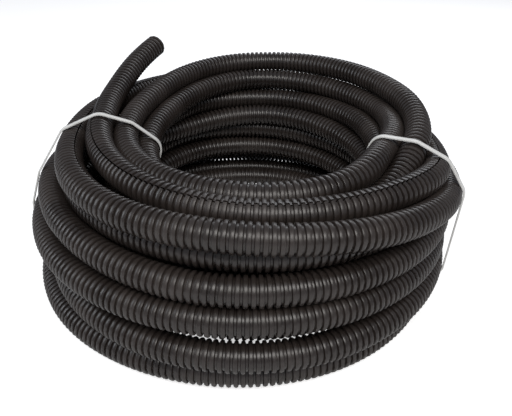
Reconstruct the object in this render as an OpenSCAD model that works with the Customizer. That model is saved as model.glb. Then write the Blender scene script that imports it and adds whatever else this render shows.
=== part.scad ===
// Coil of slit corrugated conduit, held by two cable ties.
// The coil lies flat on its lowest turns; the origin is on its axis, at the floor.

/* [Conduit] */
// Outside diameter over the corrugations
conduit_od = 15.8; // [13:0.1:18]
// Height of a corrugation above the valley beside it
rib_height = 1.45; // [0.8:0.05:1.6]
// Distance from one corrugation to the next
rib_pitch = 3.5; // [3.2:0.1:4.2]
// Flat crest of a corrugation
rib_crest = 1.6; // [1.4:0.1:2]
// Flat valley between two corrugations
rib_valley = 0.9; // [0.6:0.1:1.1]
// Thickness of the plastic wall
wall = 0.45; // [0.35:0.05:0.6]
// Gap of the slit that runs along the conduit
slit_gap = 0.8; // [0.4:0.1:2]
// Where the slit lies on the section: 0 faces the coil's axis, 90 is the top
slit_turn = 215; // [180:5:260]

/* [Coil] */
// Outside diameter of the coil
coil_od = 268; // [240:1:300]
// Turns stacked in the outer column, the top one included
outer_turns = 6; // [5:1:7]
// Thickness of the coil's ring, from the outermost turn to the eye
ring_width = 61; // [58:1:62]
// How far two touching turns press into each other
nest = 0.1; // [0.05:0.05:0.3]

/* [Free end] */
// Where the free end leaves the coil, round the axis from +X
leave_angle = 184; // [178:1:186]
// Stretch of the top turn that is missing behind the free end
top_gap = 50; // [45:1:70]
// Radius of the short upward bend at the root
rise_radius = 50; // [45:1:70]
// Corrugations along that upward bend
rise_ribs = 4; // [3:1:5]
// Radius of the long bend that follows
sweep_radius = 150; // [130:1:200]
// Corrugations along the long bend
sweep_ribs = 20; // [16:1:26]
// Corrugations along the straight tip
tip_ribs = 9; // [6:1:11]
// Free room between the free end and the turns beside it
free_clear = 0.6; // [0.4:0.1:1]

/* [Cable ties] */
// Width of the strap
strap_width = 3.6; // [2.5:0.1:4.8]
// Thickness of the strap
strap = 1.1; // [0.8:0.1:1.4]
// Room between a strap and the turns that it presses in
strap_clear = 0.3; // [0.1:0.1:0.5]
// Place of the left tie, round the axis from +X
left_tie_angle = 190; // [189:0.5:210]
// Place of the right tie, round the axis from +X
right_tie_angle = -25; // [-60:1:60]
// Width of the tie's head, across the strap
head_width = 5.8; // [5.6:0.1:8]
// Depth of the head, from the strap outwards
head_depth = 4.6; // [4:0.1:6]
// Length of the head along the strap
head_length = 6.4; // [5:0.1:8]
// Height of the heads above the floor, inside the eye
head_level = 40; // [25:1:50]
// Length of the trimmed strap end that stands out of the head
stub = 2; // [1:0.5:6]

/* [Hidden] */

r = conduit_od / 2;
valley_r = r - rib_height;       // outside radius in a valley
bore_r = valley_r - wall;        // clear bore of the conduit
flank = (rib_pitch - rib_crest - rib_valley) / 2;
lap = 0.25;                      // how deep a corrugation reaches into the tube's wall
flank_wall = 1.3;                // how much narrower a corrugation is inside, in walls
seam_cover = 0.05;               // how much wider the slit is where two stretches of it join
seam_length = 0.6;               // how long that wider place is
slot_clear = 0.2;                // room between the strap's free end and its slot
lead_in = 8;                     // stretch below the head where the strap bends into the slot

spacing = conduit_od - nest;     // between the centres of two touching turns
outer_r = coil_od / 2 - r;       // centre of the outermost turn
inner_r = coil_od / 2 - ring_width + r; // centre of the innermost turn

// How far each turn of the outer column sits in from the outermost one, bottom to top, as a share of the conduit
outer_lean = [0.32, 0, 0.03, 0.03, 0.4, 0.9, 1.3];
// The same for the column round the eye
inner_lean = [0.03, 0, 0.08, 0, 0.06, 0.03, 0.03];
// The same for the turn under the top one, out from it
under_lean = 0.08;

function stack(lean, i) = i == 0 ? r
    : stack(lean, i - 1) + sqrt(pow(spacing, 2) - pow((lean[i] - lean[i - 1]) * conduit_od, 2));
outer_seats = [for (i = [0 : outer_turns - 1]) [outer_r - outer_lean[i] * conduit_od, stack(outer_lean, i)]];
inner_seats = [for (i = [0 : outer_turns - 1]) [inner_r + inner_lean[i] * conduit_od, stack(inner_lean, i)]];
top_outer = outer_seats[outer_turns - 1];
top_inner = inner_seats[outer_turns - 1];

// The top turn rides between the two column heads, clear of both
half_gap = norm(top_outer - top_inner) / 2;
across = (top_outer - top_inner) / (2 * half_gap);
top_seat = (top_outer + top_inner) / 2
    + sqrt(max(0, pow(conduit_od + free_clear, 2) - pow(half_gap, 2))) * [-across[1], across[0]];
// One turn lies under it and one on the floor between the columns
under_seat = top_seat + [under_lean * conduit_od, -conduit_od - free_clear];
floor_seat = [(outer_seats[0][0] + inner_seats[0][0]) / 2, r];
web_width = 0.4 * conduit_od;    // joins the top turn to the one under it
web_short = 3;                   // and stops this many degrees short of its far end
nose_step = 0.3;                 // how much smaller the round nose of the top turn is
nose_back = 1;                   // and how many degrees it sits back in the turn

rise_angle = rise_ribs * rib_pitch / rise_radius * 180 / PI;
sweep_angle = sweep_ribs * rib_pitch / sweep_radius * 180 / PI;
tip_length = (tip_ribs + 0.5) * rib_pitch; // the end is cut in a valley

// ---- coil

module seat_circles(seats) {
    for (s = seats) translate(s) circle(r = r, $fn = 64);
}

module bundle_section() {
    seat_circles(outer_seats);
    seat_circles(inner_seats);
    seat_circles([under_seat, floor_seat]);
    polygon(concat(outer_seats, [under_seat],
        [for (i = [outer_turns - 1 : -1 : 0]) inner_seats[i]]));
}

// The top turn, open where the free end climbs out of the coil
module top_turn() {
    rotate([0, 0, leave_angle]) {
        rotate_extrude(angle = 360 - top_gap, $fn = 128)
            translate(top_seat) circle(r = r, $fn = 64);
        rotate_extrude(angle = 360 - top_gap - web_short, $fn = 128)
            translate(under_seat - [web_width / 2, 0]) square([web_width, spacing]);
    }
    rotate([0, 0, leave_angle - top_gap + nose_back]) translate([top_seat[0], 0, top_seat[1]])
        sphere(r = r - nose_step, $fn = 64);
}

module conduit_coil() {
    color([0.06, 0.055, 0.055]) difference() {
        union() {
            rotate_extrude($fn = 128) bundle_section();
            top_turn();
        }
        tie_channel(left_tie_angle);
        tie_channel(right_tie_angle);
    }
}

// ---- free end

// Carries its children to the end of a bend: roll 0 bends towards the coil's axis, -90 upwards
module along_bend(radius, angle, roll) {
    rotate([0, roll, 0]) translate([radius, 0, 0]) rotate([0, 0, -angle])
        translate([-radius, 0, 0]) rotate([0, -roll, 0]) children();
}

// Sweeps a section along a bend that starts at the origin and heads along +Y
module bend(radius, angle, roll) {
    rotate([0, roll, 0]) translate([radius, 0, 0]) rotate([0, 0, 180 - angle])
        rotate_extrude(angle = angle, $fn = 128) translate([radius, 0]) mirror([1, 0])
            rotate(roll) children();
}

module after_rise() {
    along_bend(rise_radius, rise_angle, -90) children();
}

module after_sweep() {
    after_rise() along_bend(sweep_radius, sweep_angle, 0) children();
}

// A section all along the free end
module free_route() {
    bend(rise_radius, rise_angle, -90) children();
    after_rise() bend(sweep_radius, sweep_angle, 0) children();
    after_sweep() rotate([-90, 0, 0]) linear_extrude(tip_length) mirror([0, 1]) children();
}

// Its children once for each corrugation; one stands on each joint between two stretches
module at_ribs() {
    for (i = [1 : rise_ribs])
        along_bend(rise_radius, i * rise_angle / rise_ribs, -90) children();
    after_rise() for (i = [1 : sweep_ribs])
        along_bend(sweep_radius, i * sweep_angle / sweep_ribs, 0) children();
    after_sweep() for (i = [1 : tip_ribs])
        translate([0, i * rib_pitch, 0]) children();
}

// The slit's section, wider by the given amount on both sides
module slit_section(more) {
    rotate(slit_turn) translate([0, -slit_gap / 2 - more]) square([conduit_od, slit_gap + 2 * more]);
}

// Covers the seam between two stretches of the slit
module slit_seam() {
    rotate([-90, 0, 0]) translate([0, 0, -seam_length / 2]) linear_extrude(seam_length)
        mirror([0, 1]) slit_section(seam_cover);
}

// One corrugation: a ring round the tube whose sloping flanks run on into its wall
module corrugation(base_r, crest_r, crest) {
    foot = crest / 2 + flank * (crest_r - base_r + lap) / (crest_r - base_r);
    rotate([-90, 0, 0]) rotate_extrude($fn = 64)
        polygon([[base_r - lap, -foot], [crest_r, -crest / 2], [crest_r, crest / 2], [base_r - lap, foot]]);
}

module conduit_free_end() {
    color([0.06, 0.055, 0.055])
        translate([top_seat[0] * cos(leave_angle), top_seat[0] * sin(leave_angle), top_seat[1]])
            rotate([0, 0, leave_angle - 180]) difference() {
                union() {
                    free_route() circle(r = valley_r, $fn = 64);
                    at_ribs() corrugation(valley_r, r, rib_crest);
                }
                free_route() circle(r = bore_r, $fn = 64);
                at_ribs() corrugation(bore_r, r - wall, rib_crest - flank_wall * wall);
                free_route() slit_section(0);
                after_rise() slit_seam();
                after_sweep() slit_seam();
            }
}

// ---- cable ties

// The bundle's outline that a strap follows, drawn in by the given amount
module strap_outline(inset) {
    offset(delta = -inset) hull() seat_circles(concat(outer_seats, inner_seats, [top_seat]));
}

// Turns a section in the plane of the axis into a plate of the given thickness
module radial_plate(angle, thickness) {
    rotate([0, 0, angle]) rotate([90, 0, 0])
        translate([0, 0, -thickness / 2]) linear_extrude(thickness) children();
}

// What a strap presses out of the coil: everything outside its inner side
module tie_channel(angle) {
    radial_plate(angle, strap_width + 2 * strap_clear) difference() {
        translate([inner_r - conduit_od, -r]) square([ring_width + 2 * conduit_od, top_seat[1] + conduit_od + r]);
        strap_outline(strap + strap_clear);
    }
}

// One tie: a closed strap with its head on the eye's side, and its free end through the slot
module tie(angle) {
    eye_r = coil_od / 2 - ring_width;
    slot = strap + 2 * slot_clear;
    slot_r = eye_r - (head_depth + slot) / 2;
    strap_r = slot_r + slot_clear;
    color([0.93, 0.93, 0.91]) {
        radial_plate(angle, strap_width) difference() {
            strap_outline(0);
            strap_outline(strap);
        }
        rotate([0, 0, angle]) translate([0, 0, head_level]) {
            difference() {
                translate([eye_r - head_depth, -head_width / 2, 0])
                    cube([head_depth + strap / 2, head_width, head_length]);
                translate([slot_r, -strap_width / 2 - slot_clear, -1])
                    cube([slot, strap_width + 2 * slot_clear, head_length + 2]);
            }
            translate([strap_r, -strap_width / 2, -slot_clear])
                cube([strap, strap_width, head_length + stub + slot_clear]);
            hull() {
                translate([strap_r, -strap_width / 2, -2 * slot_clear])
                    cube([strap, strap_width, slot_clear]);
                translate([eye_r, -strap_width / 2, -lead_in])
                    cube([strap, strap_width, slot_clear]);
            }
        }
    }
}

module tie_left() {
    tie(left_tie_angle);
}

module tie_right() {
    tie(right_tie_angle);
}

conduit_coil();
conduit_free_end();
tie_left();
tie_right();
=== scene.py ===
import math
import bpy
import numpy as np
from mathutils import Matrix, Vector


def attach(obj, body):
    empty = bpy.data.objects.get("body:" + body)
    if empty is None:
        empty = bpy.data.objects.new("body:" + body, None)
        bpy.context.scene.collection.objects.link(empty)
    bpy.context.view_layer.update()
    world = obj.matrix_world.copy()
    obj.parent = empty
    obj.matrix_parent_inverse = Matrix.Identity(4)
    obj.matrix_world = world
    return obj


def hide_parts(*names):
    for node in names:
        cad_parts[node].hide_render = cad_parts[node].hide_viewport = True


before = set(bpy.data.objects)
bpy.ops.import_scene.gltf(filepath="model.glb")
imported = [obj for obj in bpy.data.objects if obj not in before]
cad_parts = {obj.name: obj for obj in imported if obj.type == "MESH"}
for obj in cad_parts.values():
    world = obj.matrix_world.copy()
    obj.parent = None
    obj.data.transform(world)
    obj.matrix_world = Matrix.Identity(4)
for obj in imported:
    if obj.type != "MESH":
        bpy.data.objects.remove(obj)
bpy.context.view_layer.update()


def selectNone():
    if bpy.context.object and bpy.context.object.mode != 'OBJECT':
        bpy.ops.object.mode_set(mode='OBJECT')
    bpy.ops.object.select_all(action='DESELECT')


def activate(piece):
    selectNone()
    piece.select_set(True)
    bpy.context.view_layer.objects.active = piece


def applyModifiers(piece):
    activate(piece)
    for name in [m.name for m in piece.modifiers]:
        bpy.ops.object.modifier_apply(modifier=name)


# the camera that takes the product picture
view = dict(place=(0, -0.3099, 0.2105), lookDown=28.6, lens=36.35, shiftX=0.0088, shiftY=-0.0293)

selectNone()
bpy.ops.object.camera_add(location=view['place'],
                          rotation=(math.radians(90 - view['lookDown']), 0, 0))
camera = bpy.context.object
camera.name = 'productCamera'
camera.data.lens = view['lens']
camera.data.shift_x = view['shiftX']
camera.data.shift_y = view['shiftY']
camera.data.clip_start = 0.01
camera.data.clip_end = 20
bpy.context.scene.camera = camera
bpy.context.scene.view_settings.view_transform = 'Standard'
print('camera ready')

# the way the conduit runs:
# every turn goes once round, counter-clockwise seen from above; each pair is the
# distance from the axis and the height of the centre line, in mm, at these places
stations = [190, 225, 270, 305, 335, 360, 395, 450, 500]
turns = [
    [(91, 95), (96, 91), (106, 87), (108, 86), (114, 85), (108, 78), (114, 78), (128, 86), (117, 87)],
    [(105, 86), (120, 86), (121, 87), (128, 81), (121, 70), (118, 62), (120, 62), (122, 70), (122, 74)],
    [(112, 74), (112, 74), (116, 71), (116, 70), (112, 60), (105, 60), (108, 62), (116, 60), (120, 60)],
    [(122, 68), (124, 62), (127, 58), (121, 55), (114, 52), (116, 46), (118, 48), (122, 48), (122, 54)],
    [(118, 54), (115, 50), (113, 50), (108, 48), (104, 46), (104, 44), (106, 46), (112, 44), (120, 42)],
    [(133, 47), (131, 45), (129, 43), (119, 42), (114, 39), (115, 33), (116, 34), (122, 32), (128, 38)],
    [(120, 36), (118, 33), (121, 32), (117, 32), (112, 29), (104, 28), (106, 30), (110, 28), (116, 24)],
    [(124, 22), (127, 20), (131, 21), (121, 21), (114, 19), (114, 18), (116, 20), (120, 18), (128, 22)],
    [(133, 9), (130, 8), (126, 8), (122, 8), (114, 8), (112, 8), (112, 8), (114, 8), (112, 10)],
    [(106, 28), (100, 50), (98, 64), (96, 74), (100, 91), (98, 95), (104, 98), (127, 102), (78, 98)],
    [(76, 87), (83, 88), (91, 88), (92, 88), (86, 88), (91, 89), (105, 87), (115, 87), (68, 86)],
    [(66, 80), (72, 76), (80, 72), (84, 72), (76, 72), (84, 74), (92, 74), (106, 74), (86, 70)],
    [(76, 64), (78, 58), (80, 56), (80, 56), (76, 58), (82, 60), (90, 62), (104, 62), (92, 60)],
    [(86, 50), (84, 44), (84, 42), (82, 42), (78, 44), (86, 46), (94, 50), (104, 50), (100, 50)],
    [(74, 46), (74, 34), (76, 30), (78, 26), (76, 28), (80, 32), (90, 38), (102, 37), (94, 38)],
    [(84, 26), (80, 14), (84, 8), (84, 8), (80, 9), (82, 10), (88, 10), (92, 8), (90, 12)],
]
# the free end, from its tip down to where it joins the first turn
freeEndAt = [126, 130, 146, 157, 170, 184]
freeEnd = [(126.1, 118.7), (121.3, 116.2), (107, 107.3), (100.5, 101.4), (95.5, 97.8), (91.5, 95.5)]
# which way the slit looks, turn by turn: 0 is outwards, 90 is up
slitTurns = [40, 58, 120, 170, 205, 255, 325, 332, 325, 290, 270, 340, 300, 250, 215, 200, 205, 210]

coil = dict(
    od=15.8,            # over the ribs, mm
    touching=15.6,      # between the centres of two turns that touch, mm
    step=3,             # degrees between two points of the way
    rounds=400,
    pull=0.04,          # how hard a turn is drawn back to its own place
    relax=0.35,         # how much a point moves towards its two neighbours
    ease=0.3,           # the same, while the corners of the table are rounded off
    easeFreeEnd=4,      # times that the corners of the free end are rounded off
    easeTurns=40,       # times that the corners of the turns are rounded off
    pushes=3,           # times per round that overlapping turns are moved apart
    push=0.3,           # share of an overlap that one such move takes away
    pitch=0.0035,       # from one rib to the next, m
)


def layTurns():
    start, join = freeEndAt[0], freeEndAt[-1]
    perTurn = 360 // coil['step']
    places = list(freeEndAt)
    marks = list(freeEnd)
    for number, row in enumerate(turns):
        places += [s + 360 * number for s in stations]
        marks += row
    angles = np.arange(start, join + 360 * len(turns), coil['step'])
    marks = np.array(marks, float)
    goal = np.c_[np.interp(angles, places, marks[:, 0]), np.interp(angles, places, marks[:, 1])]
    held = (join - start) // coil['step']
    for _ in range(coil['easeFreeEnd']):
        goal[1:-1] += coil['ease'] * (goal[:-2] + goal[2:] - 2 * goal[1:-1])
    for _ in range(coil['easeTurns']):
        bend = goal[held - 1:-2] + goal[held + 1:] - 2 * goal[held:-1]
        goal[held:-1] += coil['ease'] * bend
    line = goal.copy()
    for _ in range(coil['rounds']):
        line[1:-1] += coil['relax'] * (line[:-2] + line[2:] - 2 * line[1:-1])
        line += coil['pull'] * (goal - line)
        for _ in range(coil['pushes']):      # turns that overlap push each other away
            move = np.zeros_like(line)
            for gap in range(perTurn, len(line), perTurn):
                apart = line[gap:] - line[:-gap]
                reach = np.sqrt((apart ** 2).sum(1)) + 1e-9
                push = np.clip(coil['touching'] - reach, 0, None) * coil['push']
                shift = apart / reach[:, None] * push[:, None]
                move[gap:] += shift
                move[:-gap] -= shift
            line += move
            line[:, 1] = np.maximum(line[:, 1], coil['od'] / 2)
            line[:held] = goal[:held]
    turned = np.radians(angles)
    points = np.c_[line[:, 0] * np.cos(turned), line[:, 0] * np.sin(turned), line[:, 1]] / 1000
    return angles, line / 1000, points


azimuth, section, route = layTurns()
along = np.r_[0, np.cumsum(np.linalg.norm(np.diff(route, axis=0), axis=1))]
slitAt = [freeEndAt[0]] + [stations[0] + 360 * k for k in range(len(slitTurns) - 1)]
slitAngle = np.interp(azimuth, slitAt, slitTurns)

wayCurve = bpy.data.curves.new('conduitWay', 'CURVE')
wayCurve.dimensions = '3D'
wayCurve.twist_mode = 'Z_UP'
waySpline = wayCurve.splines.new('POLY')
waySpline.points.add(len(route) - 1)
waySpline.points.foreach_set('co', np.c_[route, np.ones(len(route))].ravel())
waySpline.points.foreach_set('tilt', np.radians(-slitAngle))
way = bpy.data.objects.new('conduitWay', wayCurve)
bpy.context.scene.collection.objects.link(way)
print('conduit way laid,', round(float(along[-1]), 2), 'm')


rib = dict(
    sides=14,
    # from one valley over the crest to the next: place along the conduit and radius, m
    profile=[(0.0009, 0.00645), (0.00125, 0.00762), (0.0022, 0.00792),
             (0.00315, 0.00762), (0.0035, 0.00645)],
    valley=0.00645,
    wall=0.00045,
    slit=0.0008,
    slitSide=0.9,       # share of the valley's radius past which a face is by the slit
    weld=0.00002,       # ribs closer than this share their edge
    smooth=50,          # degrees
    pieces=6,           # runs that the conduit is made in
)


def makeRib():
    # one rib, a plain skin that is open along the slit
    selectNone()
    bpy.ops.mesh.primitive_circle_add(vertices=rib['sides'], radius=rib['valley'],
                                      fill_type='NOTHING', location=(0, 0, 0),
                                      rotation=(0, math.radians(90), 0))
    piece = bpy.context.object
    bpy.ops.object.transform_apply(location=True, rotation=True, scale=True)
    bpy.ops.object.mode_set(mode='EDIT')
    bpy.ops.mesh.select_all(action='SELECT')
    x, radius = 0, rib['valley']
    for nextX, nextRadius in rib['profile']:
        bpy.ops.mesh.extrude_edges_move(TRANSFORM_OT_translate={'value': (nextX - x, 0, 0)})
        grow = nextRadius / radius
        bpy.ops.transform.resize(value=(1, grow, grow), center_override=(nextX, 0, 0))
        x, radius = nextX, nextRadius
    # the slit is cut on the side that looks along -Y
    bpy.ops.object.mode_set(mode='OBJECT')
    near = rib['valley'] * math.cos(math.radians(360 / rib['sides']))
    for side in (-1, 1):
        for face in piece.data.polygons:
            face.select = face.center.y < -near * rib['slitSide']
        bpy.ops.object.mode_set(mode='EDIT')
        bpy.ops.mesh.select_mode(type='FACE')
        bpy.ops.mesh.bisect(plane_co=(0, 0, side * rib['slit'] / 2), plane_no=(0, 0, 1),
                            use_fill=False)
        bpy.ops.object.mode_set(mode='OBJECT')
    for face in piece.data.polygons:
        face.select = face.center.y < 0 and abs(face.center.z) < rib['slit'] / 2
    bpy.ops.object.mode_set(mode='EDIT')
    bpy.ops.mesh.delete(type='FACE')
    bpy.ops.mesh.select_all(action='SELECT')
    bpy.ops.mesh.normals_make_consistent(inside=False)
    bpy.ops.object.mode_set(mode='OBJECT')
    # outwards is away from the conduit's own axis
    outward = sum(f.normal.y * f.center.y + f.normal.z * f.center.z for f in piece.data.polygons)
    if outward < 0:
        bpy.ops.object.mode_set(mode='EDIT')
        bpy.ops.mesh.flip_normals()
        bpy.ops.object.mode_set(mode='OBJECT')
    return piece


def makeConduit(name, first, count):
    piece = makeRib()
    piece.name = name
    for vertex in piece.data.vertices:
        vertex.co.x += first * coil['pitch']
    row = piece.modifiers.new('row', 'ARRAY')
    row.count = count
    row.use_relative_offset = False
    row.use_constant_offset = True
    row.constant_offset_displace = (coil['pitch'], 0, 0)
    row.use_merge_vertices = True
    row.merge_threshold = rib['weld']
    wall = piece.modifiers.new('wall', 'SOLIDIFY')
    wall.thickness = rib['wall']
    wall.offset = -1
    wall.use_rim = True
    bend = piece.modifiers.new('bend', 'CURVE')
    bend.object = way
    bend.deform_axis = 'POS_X'
    applyModifiers(piece)
    bpy.ops.object.shade_smooth_by_angle(angle=math.radians(rib['smooth']))
    return piece


ribCount = int(along[-1] / coil['pitch']) - 1
cuts = np.linspace(0, ribCount, rib['pieces'] + 1).astype(int)
conduits = []
for number in range(rib['pieces']):
    first, last = int(cuts[number]), int(cuts[number + 1])
    piece = makeConduit('conduitRun%d' % (number + 1), first, last - first)
    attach(piece, 'root')
    if number == 0:
        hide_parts('conduit_free_end')
    else:
        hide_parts('conduit_coil')
    conduits.append(piece)
bpy.data.objects.remove(way)


tieSizes = dict(
    width=0.0036,
    thickness=0.0011,
    gap=0.0004,         # between the strap and the ribs
    steps=120,          # points round the strap
    headHeight=0.040,
    head=(0.0046, 0.0058, 0.0064),
    headSunk=0.0002,    # how far the head sits in the strap
    slotRim=0.0009,     # wall left round the slot at each end of the head
    slotDepth=0.0016,
    stub=0.002,         # trimmed tail above the head
    tailFoot=0.006,     # tail below the head
    edge=0.0003,        # rounding of the strap and the tail
    headEdge=0.0004,
    smooth=40,          # degrees
)


def strapLine(angle):
    # a tight line round every turn that crosses this plane
    turn = (azimuth - angle) / 360
    laps = range(int(np.ceil(turn[0])), int(turn[-1]) + 1)
    nearest = [int(np.argmin(abs(turn - k))) for k in laps]
    centres = section[nearest]
    reach = coil['od'] / 2000 + tieSizes['gap']
    line = []
    for look in np.linspace(math.pi, -math.pi, tieSizes['steps'], endpoint=False):
        facing = np.array([math.cos(look), math.sin(look)])
        line.append(centres[np.argmax(centres @ facing)] + reach * facing)
    return np.array(line)


def makeTie(name, angle):
    line = strapLine(angle % 360)
    out = np.array([math.cos(math.radians(angle)), math.sin(math.radians(angle)), 0])
    side = np.array([-out[1], out[0], 0])
    selectNone()
    bpy.ops.mesh.primitive_circle_add(vertices=len(line), radius=0.05, fill_type='NOTHING')
    strap = bpy.context.object
    strap.name = name
    for vertex, (r, z) in zip(strap.data.vertices, line):
        vertex.co = out * r + side * (-tieSizes['width'] / 2) + np.array([0, 0, z])
    bpy.ops.object.mode_set(mode='EDIT')
    bpy.ops.mesh.select_all(action='SELECT')
    across = tuple(side * tieSizes['width'])
    bpy.ops.mesh.extrude_edges_move(TRANSFORM_OT_translate={'value': across})
    bpy.ops.mesh.select_all(action='SELECT')
    bpy.ops.mesh.normals_make_consistent(inside=False)
    bpy.ops.object.mode_set(mode='OBJECT')
    middle = out * line[:, 0].mean() + np.array([0, 0, line[:, 1].mean()])
    if sum((np.array(f.center) - middle) @ np.array(f.normal) for f in strap.data.polygons) < 0:
        bpy.ops.object.mode_set(mode='EDIT')
        bpy.ops.mesh.flip_normals()
        bpy.ops.object.mode_set(mode='OBJECT')
    wall = strap.modifiers.new('wall', 'SOLIDIFY')
    wall.thickness = tieSizes['thickness']
    wall.offset = 1
    edge = strap.modifiers.new('edge', 'BEVEL')
    edge.width = tieSizes['edge']
    edge.segments = 2
    edge.limit_method = 'ANGLE'
    edge.angle_limit = math.radians(50)
    applyModifiers(strap)

    # the head, on the strap's inner run, with the slot that the tail comes out of
    level = tieSizes['headHeight']
    inner = line[line[:, 0] < line[:, 0].mean()]
    order = np.argsort(inner[:, 1])
    faceR = float(np.interp(level, inner[order, 1], inner[order, 0])) + tieSizes['headSunk']
    depth, width, height = tieSizes['head']
    selectNone()
    bpy.ops.mesh.primitive_cube_add(size=1, location=(faceR - depth / 2, 0, level + height / 2))
    head = bpy.context.object
    head.scale = (depth, width, height)
    bpy.ops.object.transform_apply(location=True, rotation=True, scale=True)
    for axisSide in (1, -1):
        for face in head.data.polygons:
            face.select = face.normal.z * axisSide > 0.9
        bpy.ops.object.mode_set(mode='EDIT')
        bpy.ops.mesh.select_mode(type='FACE')
        bpy.ops.mesh.inset(thickness=tieSizes['slotRim'], depth=0)
        inwards = (0, 0, -tieSizes['slotDepth'] * axisSide)
        bpy.ops.mesh.extrude_region_move(TRANSFORM_OT_translate={'value': inwards})
        bpy.ops.mesh.select_all(action='DESELECT')
        bpy.ops.object.mode_set(mode='OBJECT')
    edge = head.modifiers.new('edge', 'BEVEL')
    edge.width = tieSizes['headEdge']
    edge.segments = 2
    edge.limit_method = 'ANGLE'
    applyModifiers(head)

    # the trimmed tail of the strap, which goes up through the head
    foot = tieSizes['tailFoot']
    tall = height + tieSizes['stub'] + foot
    selectNone()
    bpy.ops.mesh.primitive_cube_add(size=1,
                                    location=(faceR - depth / 2, 0, level - foot + tall / 2))
    tail = bpy.context.object
    tail.scale = (tieSizes['thickness'], tieSizes['width'], tall)
    bpy.ops.object.transform_apply(location=True, rotation=True, scale=True)
    for vertex in tail.data.vertices:           # its foot leans back to the strap
        if vertex.co.z < level - foot / 2:
            vertex.co.x += depth / 2
    edge = tail.modifiers.new('edge', 'BEVEL')
    edge.width = tieSizes['edge']
    edge.segments = 2
    applyModifiers(tail)
    for part in (head, tail):
        activate(part)
        part.rotation_euler.z = math.radians(angle)
        bpy.ops.object.transform_apply(location=True, rotation=True, scale=True)
    selectNone()
    for part in (head, tail, strap):
        part.select_set(True)
    bpy.context.view_layer.objects.active = strap
    bpy.ops.object.join()
    bpy.ops.object.shade_smooth_by_angle(angle=math.radians(tieSizes['smooth']))
    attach(strap, 'root')
    return strap


tieLeft = makeTie('tieLeft', 190)
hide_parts('tie_left')
tieRight = makeTie('tieRight', -25)
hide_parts('tie_right')
print('ties closed')


def newGroup(name, inputs, outputs):
    group = bpy.data.node_groups.new(name, 'ShaderNodeTree')
    for label, kind, value in inputs:
        socket = group.interface.new_socket(name=label, in_out='INPUT', socket_type=kind)
        socket.default_value = value
    for label, kind in outputs:
        group.interface.new_socket(name=label, in_out='OUTPUT', socket_type=kind)
    return group, group.nodes.new('NodeGroupInput'), group.nodes.new('NodeGroupOutput')


def makeHandlingMarks():
    # soft rubbed patches and fine dust, as a mask that runs from 0 to 1
    group, given, put = newGroup('handlingMarks', [
        ('Vector', 'NodeSocketVector', (0, 0, 0)),
        ('Patch Scale', 'NodeSocketFloat', 30),
        ('Dust Scale', 'NodeSocketFloat', 900),
    ], [('Patches', 'NodeSocketFloat'), ('Dust', 'NodeSocketFloat')])
    patch = group.nodes.new('ShaderNodeTexNoise')
    patch.inputs['Detail'].default_value = 4
    dust = group.nodes.new('ShaderNodeTexNoise')
    dust.inputs['Detail'].default_value = 2
    soften = group.nodes.new('ShaderNodeMapRange')
    soften.inputs['From Min'].default_value = 0.35
    soften.inputs['From Max'].default_value = 0.7
    speck = group.nodes.new('ShaderNodeMapRange')
    speck.inputs['From Min'].default_value = 0.58
    speck.inputs['From Max'].default_value = 0.72
    link = group.links.new
    link(given.outputs['Vector'], patch.inputs['Vector'])
    link(given.outputs['Patch Scale'], patch.inputs['Scale'])
    link(given.outputs['Vector'], dust.inputs['Vector'])
    link(given.outputs['Dust Scale'], dust.inputs['Scale'])
    link(patch.outputs['Fac'], soften.inputs['Value'])
    link(dust.outputs['Fac'], speck.inputs['Value'])
    link(soften.outputs['Result'], put.inputs['Patches'])
    link(speck.outputs['Result'], put.inputs['Dust'])
    return group


def makeMouldedSkin():
    # the slight unevenness of moulded plastic, as a height
    group, given, put = newGroup('mouldedSkin', [
        ('Vector', 'NodeSocketVector', (0, 0, 0)),
        ('Wave Scale', 'NodeSocketFloat', 160),
        ('Grain Scale', 'NodeSocketFloat', 2500),
    ], [('Height', 'NodeSocketFloat')])
    wave = group.nodes.new('ShaderNodeTexNoise')
    grain = group.nodes.new('ShaderNodeTexNoise')
    less = group.nodes.new('ShaderNodeMath')
    less.operation = 'MULTIPLY'
    less.inputs[1].default_value = 0.15
    add = group.nodes.new('ShaderNodeMath')
    add.operation = 'ADD'
    link = group.links.new
    link(given.outputs['Vector'], wave.inputs['Vector'])
    link(given.outputs['Wave Scale'], wave.inputs['Scale'])
    link(given.outputs['Vector'], grain.inputs['Vector'])
    link(given.outputs['Grain Scale'], grain.inputs['Scale'])
    link(grain.outputs['Fac'], less.inputs[0])
    link(wave.outputs['Fac'], add.inputs[0])
    link(less.outputs[0], add.inputs[1])
    link(add.outputs[0], put.inputs['Height'])
    return group


handlingMarks = makeHandlingMarks()
mouldedSkin = makeMouldedSkin()


def newMaterial(name):
    material = bpy.data.materials.new(name)
    material.use_nodes = True
    shader = material.node_tree.nodes['Principled BSDF']
    return material, material.node_tree.nodes, material.node_tree.links.new, shader


def placeGroup(nodes, group, **values):
    node = nodes.new('ShaderNodeGroup')
    node.node_tree = group
    for label, value in values.items():
        node.inputs[label.replace('_', ' ')].default_value = value
    return node


blackLook = dict(colour=(0.022, 0.017, 0.015, 1), rubbed=(0.042, 0.033, 0.029, 1),
                 dusty=(0.075, 0.066, 0.06, 1), smooth=0.27, rough=0.42)


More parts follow.
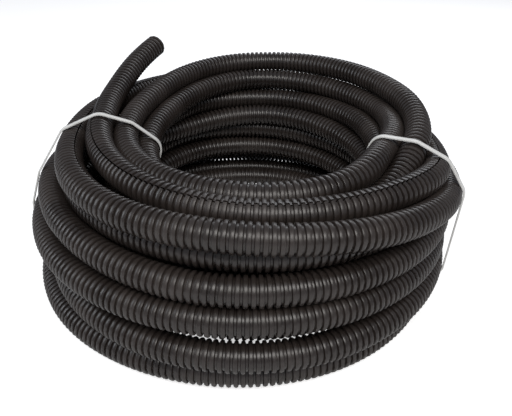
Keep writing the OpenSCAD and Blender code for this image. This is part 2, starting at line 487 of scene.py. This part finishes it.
def makeBlackPlastic():
    material, nodes, link, shader = newMaterial('blackConduitPlastic')
    where = nodes.new('ShaderNodeTexCoord')
    marks = placeGroup(nodes, handlingMarks, Patch_Scale=38, Dust_Scale=1400)
    skin = placeGroup(nodes, mouldedSkin, Wave_Scale=220, Grain_Scale=3000)
    colour = nodes.new('ShaderNodeMix')
    colour.data_type = 'RGBA'
    colour.inputs[6].default_value = blackLook['colour']
    colour.inputs[7].default_value = blackLook['rubbed']
    dust = nodes.new('ShaderNodeMix')
    dust.data_type = 'RGBA'
    dust.inputs[7].default_value = blackLook['dusty']
    faint = nodes.new('ShaderNodeMath')
    faint.operation = 'MULTIPLY'
    faint.inputs[1].default_value = 0.35
    rough = nodes.new('ShaderNodeMapRange')
    rough.inputs['To Min'].default_value = blackLook['smooth']
    rough.inputs['To Max'].default_value = blackLook['rough']
    bump = nodes.new('ShaderNodeBump')
    bump.inputs['Strength'].default_value = 0.12
    bump.inputs['Distance'].default_value = 0.0006
    link(where.outputs['Object'], marks.inputs['Vector'])
    link(where.outputs['Object'], skin.inputs['Vector'])
    link(marks.outputs['Patches'], colour.inputs[0])
    link(colour.outputs[2], dust.inputs[6])
    link(marks.outputs['Dust'], faint.inputs[0])
    link(faint.outputs[0], dust.inputs[0])
    link(dust.outputs[2], shader.inputs['Base Color'])
    link(marks.outputs['Patches'], rough.inputs['Value'])
    link(rough.outputs['Result'], shader.inputs['Roughness'])
    link(skin.outputs['Height'], bump.inputs['Height'])
    link(bump.outputs['Normal'], shader.inputs['Normal'])
    shader.inputs['Specular IOR Level'].default_value = 0.6
    return material


nylonLook = dict(colour=(0.88, 0.88, 0.86, 1), worn=(0.80, 0.80, 0.77, 1),
                 smooth=0.38, rough=0.5)


def makeNylon():
    material, nodes, link, shader = newMaterial('whiteTieNylon')
    where = nodes.new('ShaderNodeTexCoord')
    marks = placeGroup(nodes, handlingMarks, Patch_Scale=120, Dust_Scale=1800)
    skin = placeGroup(nodes, mouldedSkin, Wave_Scale=300, Grain_Scale=4000)
    colour = nodes.new('ShaderNodeMix')
    colour.data_type = 'RGBA'
    colour.inputs[6].default_value = nylonLook['colour']
    colour.inputs[7].default_value = nylonLook['worn']
    rough = nodes.new('ShaderNodeMapRange')
    rough.inputs['To Min'].default_value = nylonLook['smooth']
    rough.inputs['To Max'].default_value = nylonLook['rough']
    bump = nodes.new('ShaderNodeBump')
    bump.inputs['Strength'].default_value = 0.1
    bump.inputs['Distance'].default_value = 0.0003
    link(where.outputs['Object'], marks.inputs['Vector'])
    link(where.outputs['Object'], skin.inputs['Vector'])
    link(marks.outputs['Patches'], colour.inputs[0])
    link(colour.outputs[2], shader.inputs['Base Color'])
    link(marks.outputs['Patches'], rough.inputs['Value'])
    link(rough.outputs['Result'], shader.inputs['Roughness'])
    link(skin.outputs['Height'], bump.inputs['Height'])
    link(bump.outputs['Normal'], shader.inputs['Normal'])
    shader.inputs['Subsurface Weight'].default_value = 0.08
    shader.inputs['Subsurface Radius'].default_value = (0.002, 0.002, 0.002)
    return material


blackPlastic = makeBlackPlastic()
nylon = makeNylon()
dressed = [(p, blackPlastic) for p in conduits] + [(tieLeft, nylon), (tieRight, nylon)]
for piece, material in dressed:
    piece.data.materials.clear()
    piece.data.materials.append(material)
for name, material in (('conduit_coil', blackPlastic), ('conduit_free_end', blackPlastic),
                       ('tie_left', nylon), ('tie_right', nylon)):
    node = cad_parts[name]
    node.data.materials.clear()
    node.data.materials.append(material)
print('materials set')


studio = dict(
    floorSize=6,
    floorDrop=0.0002,   # just under the lowest turn, m
    floorGlow=0.62,     # light that the floor gives back to the coil
    key=7.5,
    fill=2.2,
    aim=(0, 0, 0.05),
    room=0.28,
    roomColour=(0.86, 0.9, 1.0, 1),
)

# the camera sees plain white behind the coil, everything else sees the room
world = bpy.data.worlds.new('studioRoom')
bpy.context.scene.world = world
world.use_nodes = True
worldNodes, worldLink = world.node_tree.nodes, world.node_tree.links.new
room = worldNodes['Background']
room.inputs['Color'].default_value = studio['roomColour']
room.inputs['Strength'].default_value = studio['room']
white = worldNodes.new('ShaderNodeBackground')
white.inputs['Color'].default_value = (1, 1, 1, 1)
white.inputs['Strength'].default_value = 1
pick = worldNodes.new('ShaderNodeMixShader')
rays = worldNodes.new('ShaderNodeLightPath')
worldLink(rays.outputs['Is Camera Ray'], pick.inputs[0])
worldLink(room.outputs[0], pick.inputs[1])
worldLink(white.outputs[0], pick.inputs[2])
worldLink(pick.outputs[0], worldNodes['World Output'].inputs['Surface'])

selectNone()
bpy.ops.mesh.primitive_plane_add(size=studio['floorSize'], location=(0, 0, -studio['floorDrop']))
floor = bpy.context.object
floor.name = 'studioFloor'
floorMaterial, nodes, link, shader = newMaterial('paleFloor')
shader.inputs['Base Color'].default_value = (0.9, 0.9, 0.9, 1)
shader.inputs['Roughness'].default_value = 0.9
glow = nodes.new('ShaderNodeEmission')
glow.inputs['Color'].default_value = (1, 1, 1, 1)
glow.inputs['Strength'].default_value = studio['floorGlow']
both = nodes.new('ShaderNodeAddShader')
choose = nodes.new('ShaderNodeMixShader')
seen = nodes.new('ShaderNodeLightPath')
link(seen.outputs['Is Camera Ray'], choose.inputs[0])
link(shader.outputs[0], choose.inputs[1])
link(shader.outputs[0], both.inputs[0])
link(glow.outputs[0], both.inputs[1])
link(both.outputs[0], choose.inputs[2])
link(choose.outputs[0], nodes['Material Output'].inputs['Surface'])
floor.data.materials.append(floorMaterial)


def softBox(name, place, size, power, tint):
    selectNone()
    bpy.ops.object.light_add(type='AREA', location=place)
    lamp = bpy.context.object
    lamp.name = name
    lamp.data.shape = 'RECTANGLE'
    lamp.data.size, lamp.data.size_y = size
    lamp.data.energy = power
    lamp.data.color = tint
    toward = Vector(studio['aim']) - Vector(place)
    lamp.rotation_euler = toward.to_track_quat('-Z', 'Y').to_euler()


softBox('keyLight', (0.1, -0.75, 0.95), (0.9, 0.5), studio['key'], (1, 0.97, 0.93))
softBox('fillLight', (-0.9, -0.1, 0.55), (0.4, 0.6), studio['fill'], (0.9, 0.95, 1))
softBox('backLight', (0.3, 0.9, 0.7), (0.8, 0.4), studio['fill'], (0.95, 0.97, 1))
print('studio lit')
